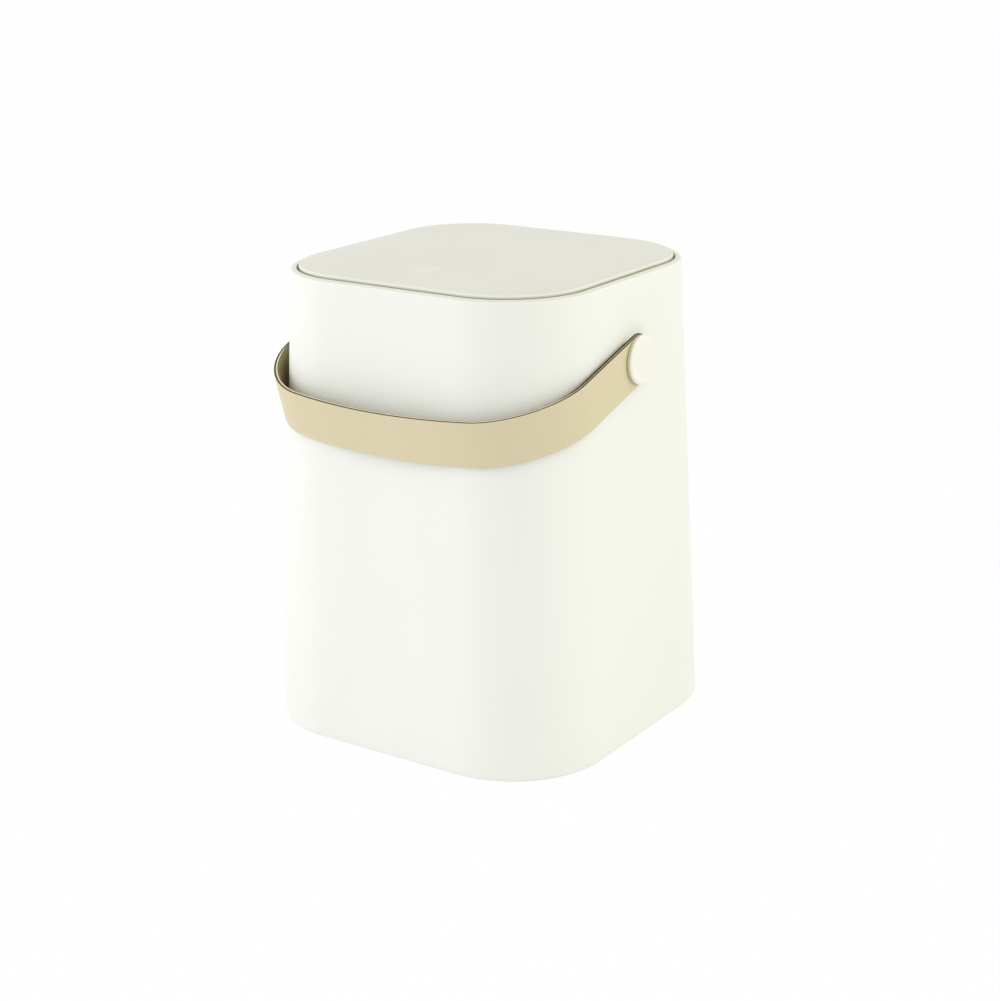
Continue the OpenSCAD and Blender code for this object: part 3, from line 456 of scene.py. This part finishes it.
def make_body():
    """The shell's profile, from its foot up the outside, over the rim, down the inside and round the shelf."""
    def at(z, inset):
        return ring(half_w(z) - inset, corner_r(z) - inset, z)

    rings = [at(BODY_Z + up, inset) for up, inset in quarter(FOOT_EDGE_R, 15)]
    rings += [at(z, 0) for z in steps(BODY_Z + FOOT_EDGE_R + 1, RIM_Z - RIM_EDGE_R - 1, 14)]
    # A greyer beige than the body runs from 30 degrees round the rim's outer edge to the foot of its lip
    tone_first = len(rings) + 3
    rings += [at(RIM_Z - down, inset) for inset, down in quarter(RIM_EDGE_R, 10)]
    rings += [at(RIM_Z - down, WALL - out) for down, out in quarter(RIM_LIP_R, 30)]
    tone_last = len(rings) - 1
    rings.append(at(SHELF_Z, WALL))
    shelf = WALL + SHELF_W
    shelf_half, shelf_r = half_w(SHELF_Z) - shelf, corner_r(SHELF_Z) - shelf
    rings += [ring(shelf_half, shelf_r, z) for z in (SHELF_Z, SHELF_Z - SHELF_T)]
    rings += [at(z, WALL) for z in (SHELF_Z - SHELF_T, BODY_Z)]
    slots = [int(tone_first <= k < tone_last) for k in range(len(rings)) for _ in rings[0]]
    body = make_object("body_shell", *skin(rings, closed=True), slots)
    dress(body, WHITE, RIM_TOP_TONE)

    # Screw posts in the corners, under the shelf for the frame and over the base plate, which end a hair below the
    # shelf's face so that no faces coincide
    diagonal, hair = math.cos(math.radians(45)), 0.02
    frame_z = SHELF_Z + FRAME_T
    frame_half, frame_r = half_w(frame_z) - WALL - FRAME_GAP, corner_r(frame_z) - WALL - FRAME_GAP
    top_post = frame_half - frame_r + (frame_r - SCREW_HEAD_R - FRAME_SCREW_EDGE) * diagonal
    low_post = half_w(BODY_Z) - corner_r(BODY_Z) + (corner_r(BODY_Z) - WALL - BOSS_R + WALL_LAP) * diagonal
    base_top = BODY_Z + BASE_RECESS + BASE_T
    posts = uprights(top_post, SHELF_Z - POST_L, SHELF_Z - hair, BOSS_R)
    posts += uprights(low_post, base_top, base_top + POST_L, BOSS_R)
    # A bearing inside and a pad outside for each button
    pad_root, pad_skin = half_w(PIVOT_Z + PAD_R) - WALL / 2, 0.6
    for s in (-1, 1):
        posts.append(cross_rod(s * BEARING_X, s * (PAD_X - pad_skin), 0, PIVOT_Z, SHAFT_R + BEARING_WALL, 96))
        posts.append(cross_rod(s * pad_root, s * PAD_X, 0, PIVOT_Z, PAD_R, 128))
    combine(body, posts, "UNION")
    bores = uprights(top_post, SHELF_Z - SCREW_L, SHELF_Z + CUT, PILOT_R)
    bores += uprights(low_post, base_top - CUT, base_top + SCREW_L, PILOT_R)
    bores.append(cross_rod(-PAD_X - CUT, PAD_X + CUT, 0, PIVOT_Z, SHAFT_R + RUN_GAP))
    latch_y = WALL + WALL_LAP - half_w(SHELF_Z)
    bores.append(block(-LATCH_ROOM, LATCH_ROOM, latch_y, 0, SHELF_Z - SHELF_T - CUT, SHELF_Z + CUT))
    combine(body, bores, "DIFFERENCE")
    tidy_normals(body)
    finish(body, "bin", "body_white", "outer_body")


# ---------- lid ----------

def lid_rise(s):
    """The lid's height over LID_Z at the distance s from its edge: a quarter round, then the crown."""
    if s < LID_EDGE_R:
        return math.sqrt(max(LID_EDGE_R ** 2 - (LID_EDGE_R - s) ** 2, 0))
    return LID_EDGE_R + CROWN_H * (1 - math.exp((LID_EDGE_R - s) / CROWN_RUN))


def lid_ring(s, z):
    """The lid's outline at the distance s from its edge: a true inset down the side wall, then drawn in alike."""
    r = LID_CORNER_R - s
    if s > SKIRT_T:
        r = (LID_CORNER_R - SKIRT_T) * (LID_HALF - s) / (LID_HALF - SKIRT_T)
    return ring(LID_HALF - s, r, z, flats=(14, 14, 84, 14))


def from_mark(x, y):
    """The distance from the middle of the push mark."""
    return math.hypot(x, y + LID_HALF - DIMPLE_INSET)


def dimple(x, y):
    """How far the push mark lowers the lid's surface: a shallow dish inside a short steep edge."""
    d = from_mark(x, y) / (DIMPLE_D / 2)
    if d < DISH_SHARE:
        return DIMPLE_DEPTH * (1 - DISH_DEPTH_SHARE * (d / DISH_SHARE) ** 2)
    return DIMPLE_DEPTH * (1 - DISH_DEPTH_SHARE) * ease((1 - d) / (1 - DISH_SHARE))


def make_lid():
    """A crowned skin with a thin side wall, hinge barrels and screw bosses."""
    top = [lid_ring(0, z) for z in (SKIRT_Z, SKIRT_Z + 3, LID_Z - 0.4)]
    # From the edge in: the rounding, then the crown's slope, the push mark's stretch and the middle
    slope_end, mark_end = LID_EDGE_R + 14, LID_EDGE_R + 28
    insets = [s for s, _ in quarter(LID_EDGE_R, 9)]
    insets += [LID_EDGE_R + 14 * (k / 16) ** 1.4 for k in range(1, 17)]
    insets += [slope_end + 0.5 * k for k in range(1, 29)]
    insets += [mark_end + (LID_HALF - 1 - mark_end) * k / 14 for k in range(1, 15)]
    for s in insets:
        points = lid_ring(s, LID_Z + lid_rise(s))
        top.append([(x, y, z - dimple(x, y)) for x, y, z in points])
    under = [SKIRT_T] + [SKIRT_T + 0.3 + (LID_HALF - 3 - SKIRT_T) * (k / 14) ** 2 for k in range(15)]
    below = [lid_ring(SKIRT_T, SKIRT_Z)]
    below += [lid_ring(s, LID_Z + lid_rise(s) - LID_SKIN) for s in under]
    n, middle = len(top[0]), len(top) - 1
    around = [(i, (i + 1) % n) for i in range(n)]
    points, faces = skin(top + below[::-1], capped=False)
    # The two skins join at the side wall's lower edge and not at their middles, which fans close
    faces = [f for f in faces if (min(f) // n, max(f) // n) != (middle, middle + 1)]
    last = (len(top) + len(below) - 1) * n
    faces += [(i, last + i, last + j, j) for i, j in around]
    crown_z = LID_Z + lid_rise(LID_HALF)
    points.append((0, 0, crown_z))
    faces += [(middle * n + i, middle * n + j, len(points) - 1) for i, j in around]
    points.append((0, 0, crown_z - LID_SKIN))
    faces += [((middle + 1) * n + j, (middle + 1) * n + i, len(points) - 1) for i, j in around]

    def slot_of(face):
        """2 on the side wall (painted shade), 1 on its rounded top edge (painted highlight), 3 in the push mark, else
        0.
        """
        k = min(face) // n
        x, y, z = (sum(points[i][axis] for i in face) / len(face) for axis in range(3))
        if k < 2 and max(face) // n <= 2:
            return 2
        if 3 < k < 9:
            return 1
        return 3 if k <= middle and LID_Z < z and from_mark(x, y) < DIMPLE_D / 2 else 0

    lid = make_object("lid_cover", points, faces, [slot_of(f) for f in faces])
    dress(lid, BEIGE, LID_EDGE_HIGHLIGHT, LID_WALL_SHADE, MARK_HIGHLIGHT)
    barrel_out = EAR_REACH - EAR_W - EAR_GAP
    relief_x = EAR_REACH + HINGE_SIDE_ROOM
    combine(lid, [
        block(-relief_x, relief_x, HINGE_Y - BARREL_R, LID_HALF + CUT, SKIRT_Z - CUT, HINGE_Z),
        cross_rod(-relief_x, relief_x, HINGE_Y, HINGE_Z, EAR_R + HINGE_ROOM),
    ], "DIFFERENCE")
    screw = LID_HALF - LINER_SCREW_INSET
    boss_top = LID_Z + lid_rise(LINER_SCREW_INSET) - LID_SKIN / 2
    combine(lid, [
        cross_rod(s * (barrel_out - BARREL_W), s * barrel_out, HINGE_Y, HINGE_Z, BARREL_R) for s in (-1, 1)
    ] + uprights(screw, SKIRT_Z + LINER_T, boss_top, SMALL_BOSS_R), "UNION")
    combine(lid, [
        cross_rod(-EAR_REACH, EAR_REACH, HINGE_Y, HINGE_Z, PIN_R + RUN_GAP)
    ] + uprights(screw, SKIRT_Z, SKIRT_Z + SMALL_L, SMALL_PILOT_R), "DIFFERENCE")
    tidy_normals(lid)
    finish(lid, "lid", "lid_beige", "lid_shell")


# ---------- handle ----------

def band_path():
    """Outer edge of the band in the plane through the pivots, from the left pivot round to the right one."""
    def bowed(x, u):
        return Vector((x, u + BAND_BOW * (1 - (x / ARM_X) ** 2) * u / BAND_REACH))

    straight = BAND_REACH - BAND_CORNER_R
    turns = [math.radians(a) for a in steps(2.5, 90, 35)]
    half = [bowed(ARM_X, u) for u in steps(0, straight, 16)]
    half += [
        bowed(ARM_X - BAND_CORNER_R * (1 - math.cos(a)), BAND_REACH - BAND_CORNER_R * (1 - math.sin(a)))
        for a in turns
    ]
    half += [bowed((ARM_X - BAND_CORNER_R) * (1 - k / 24), BAND_REACH) for k in range(1, 25)]
    left = [Vector((-p.x, p.y)) for p in half]
    return left + half[-2::-1]


def band_profile(w, shadow_lip, shade_depth):
    """Half of the band's cross-section as (distance from its middle, depth below its outer face, slot).

    Below the rounded outer corner the edge carries a groove in painted shade, and then a light lip. The inner face is
    in painted shade, and a dark hem of painted shadow stands proud of the lip by the given amount.
    """
    round_r, groove, lip, shadow_start = 0.2, 0.3, 0.98, BAND_T - shade_depth
    points = [(d, 0, 0) for d in (0, 3, 6, 9, w - 0.7, w - round_r)]
    turns = [math.radians(a) for a in (22.5, 45, 67.5, 90)]
    points += [(w - round_r + round_r * math.sin(a), round_r - round_r * math.cos(a), 0) for a in turns]
    points += [(w, round_r + 0.03, 1), (w - groove, round_r + 0.07, 1), (w - groove, lip - 0.04, 1), (w, lip, 0)]
    points += [(w, shadow_start, 0), (w + 0.02, shadow_start + 0.02, 3), (w + shadow_lip, shadow_start + 0.06, 3)]
    points += [(w + shadow_lip, BAND_T - 0.04, 3), (w + shadow_lip - 0.04, BAND_T, 2)]
    return points + [(d, BAND_T, 2) for d in (w - 0.45, 9, 6, 3, 0)]


def make_handle():
    """The band: its cross-section carried along the path, with round ends about the pivots."""
    path = band_path()
    last = len(path) - 1
    inward = []
    for k in range(last + 1):
        d = (path[min(k + 1, last)] - path[max(k - 1, 0)]).normalized()
        inward.append(Vector((d.y, -d.x)))
    inward[0], inward[last] = Vector((1, 0)), Vector((-1, 0))
    lower = band_profile(BAND_W / 2 - SHADOW_LIP_LOW, SHADOW_LIP_LOW, SHADE_DEPTH_LEAST)

    def section(p):
        """The whole cross-section at a point of the path. The upper hem of painted shadow fades out towards the
        front.
        """
        k = ease((FADE_END - p.y) / FADE_RUN)
        shadow_lip = SHADOW_LIP_LEAST + (BAND_TRIM - SHADOW_LIP_LEAST) * k
        upper = band_profile(BAND_W / 2 - BAND_TRIM, shadow_lip, SHADE_DEPTH_LEAST + (SHADE_DEPTH_MOST - SHADE_DEPTH_LEAST) * k)
        return upper + [(-d, t, s) for d, t, s in lower[-2:0:-1]]

    whole = section(path[0])
    profile = whole[:len(lower)]
    n = len(whole)
    # Which material each face between two points of the section takes
    section_slots = [max(whole[i][2], whole[(i + 1) % n][2]) for i in range(n)]

    def world(x, u, across):
        """A point at x, u out from the pivots in the band's plane and across it."""
        y = -u * math.cos(BAND_ANGLE) - across * math.sin(BAND_ANGLE)
        return (x, y, PIVOT_Z - u * math.sin(BAND_ANGLE) + across * math.cos(BAND_ANGLE))

    points, faces, slots = [], [], []
    for k in range(last + 1):
        for d, t, _ in section(path[k]):
            p = path[k] + inward[k] * t
            points.append(world(p.x, p.y, d))
    for k in range(last):
        for i in range(n):
            j = (i + 1) % n
            faces.append((k * n + i, (k + 1) * n + i, (k + 1) * n + j, k * n + j))
            slots.append(section_slots[i])
    # Round ends: the half section turned about each pivot, from the upper one to the lower
    turns = 40
    for side, at in ((-1, 0), (1, last)):
        first = len(points)
        for a in range(turns + 1):
            share = a / turns
            turn = math.pi * share
            for (d_up, t_up, _), (d_low, t_low, _) in zip(profile, lower):
                d = d_up + (d_low - d_up) * share
                t = t_up + (t_low - t_up) * share
                points.append(world(side * (ARM_X - t), -d * math.sin(turn), d * math.cos(turn)))
        h = len(profile)
        for a in range(turns):
            for i in range(h - 1):
                near, far = first + a * h + i, first + (a + 1) * h + i
                faces.append((near, far, far + 1, near + 1))
                slots.append(max(profile[i][2], profile[i + 1][2]))
    handle = make_object("carry_band", points, faces, slots)
    dress(handle, TAN, SHADE_LINE, INNER_SHADE, GAP_SHADOW)
    face_outwards(handle.data, weld=True)
    combine(handle, [
        cross_rod(s * (ARM_IN - CUT), s * (ARM_X + CUT), 0, PIVOT_Z, SHAFT_R + SHAFT_RUN_GAP, 64) for s in (-1, 1)
    ], "DIFFERENCE")
    tidy_normals(handle, 40)
    finish(handle, "handle", "band_tan", "handle_strap")


def make_button(side, name):
    """Round headed bearing button, turned about the pivot axis."""
    shaft = BUTTON_X - BEARING_X
    # From the end of the bore out of it, back along the shaft and over the head, as (radius, distance from the
    # head's underside)
    inner = [(PILOT_R, SHAFT_PILOT_L - shaft), (PILOT_R, -shaft)]
    inner += [(SHAFT_R - SHAFT_EDGE, -shaft), (SHAFT_R, SHAFT_EDGE - shaft), (SHAFT_R, 0)]
    head = [(BUTTON_R - BUTTON_BEVEL, 0), (BUTTON_R, BUTTON_BEVEL)]
    head += [(BUTTON_R - inset, BUTTON_T - down) for inset, down in quarter(BUTTON_EDGE_R, 9)]
    head += [(r, BUTTON_T) for r in (8, 6, 4, 2)]
    sides = 128
    turns = [2 * math.pi * i / sides for i in range(sides)]

    def loop(r, x):
        return [(side * (BUTTON_X + x), r * math.cos(a), PIVOT_Z + r * math.sin(a)) for a in turns]

    points, faces = skin([loop(r, x) for r, x in inner + head])
    # The bevel at the head's base takes a dark line of painted shadow, and the side above it painted shade
    bevel = len(inner)
    slots = [{bevel: 1, bevel + 1: 2}.get(min(f) // sides, 0) for f in faces]
    button = make_object(f"button_{name}", points, faces, slots)
    dress(button, CREAM, SHADE_LINE, BUTTON_SIDE_SHADE)
    tidy_normals(button, 40)
    finish(button, "bin", "button_cream", f"pivot_button_{name}")


# ---------- bucket ----------

def make_bucket():
    """An open bucket that hangs on the frame by its flange."""
    bottom, frame_z, wall, edge = 8, 190, 1.5, 7
    top_w, base_w, r = 108, 94, 25
    flange, flange_t, lip, bevel = 4.4, 2, 0.5, 0.15
    top_z = frame_z + flange_t

    def loop(half, corner, z):
        return ring(half, corner, z, 24, (8, 8, 8, 8))

    def side(z, inset):
        w = base_w + (top_w - base_w) * (z - bottom) / (frame_z - bottom)
        return loop(w / 2 - inset, r * w / top_w - inset, z)

    def rim(out, z):
        return loop(top_w / 2 + out, r + out, z)

    def floor_rings(t):
        flat = [loop(k * (base_w / 2 - edge), k * (r * base_w / top_w - edge), bottom + t) for k in (0.06, 0.5)]
        return flat + [side(bottom + t + up, t + inset) for up, inset in quarter(edge - t, 10)]

    # Up the outside, over the flange and down the inside
    rings = floor_rings(0)
    rings += [side(z, 0) for z in (60, 120, 180)]
    rings += [rim(0, frame_z), rim(flange, frame_z), rim(flange, top_z - lip)]
    rings += [rim(flange - bevel, top_z - bevel), rim(flange - lip, top_z)]
    rings += [rim(lip - wall, top_z), rim(-wall, top_z - lip)]
    rings += [side(z, wall) for z in (180, 120, 60)]
    rings += floor_rings(wall)[::-1]
    bucket = make_object("lift_out_bucket", *skin(rings))
    tidy_normals(bucket)
    finish(bucket, "bin", "bucket_grey", "inner_bucket")


make_body()
make_lid()
make_handle()
make_button(-1, "left")
make_button(1, "right")
make_bucket()

# ---------- carried-over nodes ----------

for part in frame["record"]["subparts"]:
    obj = frame["nodes"][part["node"]]
    obj.data.materials.clear()
    dress(obj, SLOTS[part["material_slot"]])

# ---------- floor, light and background ----------

def seen_rays(tree):
    """1 where the camera, a gloss or a clear material looks, and 0 for the light that falls on the object."""
    rays = tree.nodes.new("ShaderNodeLightPath")
    most, more = (tree.nodes.new("ShaderNodeMath") for _ in range(2))
    most.operation = more.operation = "MAXIMUM"
    tree.links.new(rays.outputs["Is Camera Ray"], most.inputs[0])
    tree.links.new(rays.outputs["Is Glossy Ray"], most.inputs[1])
    tree.links.new(most.outputs[0], more.inputs[0])
    tree.links.new(rays.outputs["Is Transmission Ray"], more.inputs[1])
    return more.outputs[0]


def mix_to(tree, output, share, plain, seen):
    """Mixes two shaders, the second one by its share, and joins them to a new output."""
    mix = tree.nodes.new("ShaderNodeMixShader")
    tree.links.new(share, mix.inputs["Fac"])
    tree.links.new(plain.outputs[0], mix.inputs[1])
    tree.links.new(seen.outputs[0], mix.inputs[2])
    tree.links.new(mix.outputs[0], tree.nodes.new(output).inputs["Surface"])


def make_floor():
    """A pale floor that is nearly plain white where it is seen, and keeps a little of the object's shadow."""
    size, grey, white_share = 6000, 0.84, 0.97
    corners = [(-size, -size, 0), (size, -size, 0), (size, size, 0), (-size, size, 0)]
    floor = make_object("floor", corners, [(0, 1, 2, 3)])
    mat = bpy.data.materials.new("floor_white")
    mat.use_nodes = True
    tree = mat.node_tree
    tree.nodes.clear()
    diffuse = tree.nodes.new("ShaderNodeBsdfDiffuse")
    glow = tree.nodes.new("ShaderNodeEmission")
    part = tree.nodes.new("ShaderNodeMath")
    diffuse.inputs["Color"].default_value = (grey, grey, grey, 1)
    glow.inputs["Strength"].default_value = 1
    part.operation = "MULTIPLY"
    part.inputs[1].default_value = white_share
    tree.links.new(seen_rays(tree), part.inputs[0])
    mix_to(tree, "ShaderNodeOutputMaterial", part.outputs[0], diffuse, glow)
    dress(floor, mat)


def make_world():
    """Even pale surroundings for the object, plain white where they are seen."""
    world = bpy.data.worlds.new("studio")
    scene.world = world
    world.use_nodes = True
    tree = world.node_tree
    tree.nodes.clear()
    soft = tree.nodes.new("ShaderNodeBackground")
    white = tree.nodes.new("ShaderNodeBackground")
    for node, strength in ((soft, 0.83), (white, 1)):
        node.inputs["Color"].default_value = (1, 1, 1, 1)
        node.inputs["Strength"].default_value = strength
    mix_to(tree, "ShaderNodeOutputWorld", seen_rays(tree), soft, white)


def make_light(name, azimuth, elevation, power, tint=(1, 1, 1)):
    """A soft square lamp that shines on the object's middle, from so many degrees right of its front and up."""
    middle, distance = Vector((0, 0, 0.1)), 1.2
    out = direction(math.radians(azimuth), math.radians(elevation))
    data = bpy.data.lights.new(name, "AREA")
    data.shape = "SQUARE"
    data.size = 0.9
    data.energy = power
    data.color = tint
    light = bpy.data.objects.new(name, data)
    scene.collection.objects.link(light)
    light.location = middle + distance * out
    light.rotation_euler = out.to_track_quat("Z", "Y").to_euler()
    light.visible_camera = False
    light.visible_glossy = False


make_floor()
make_world()
make_light("soft_left", -52, 22, 3.65)
make_light("soft_right", 110, 36, 2.85, (1, 0.98, 0.68))
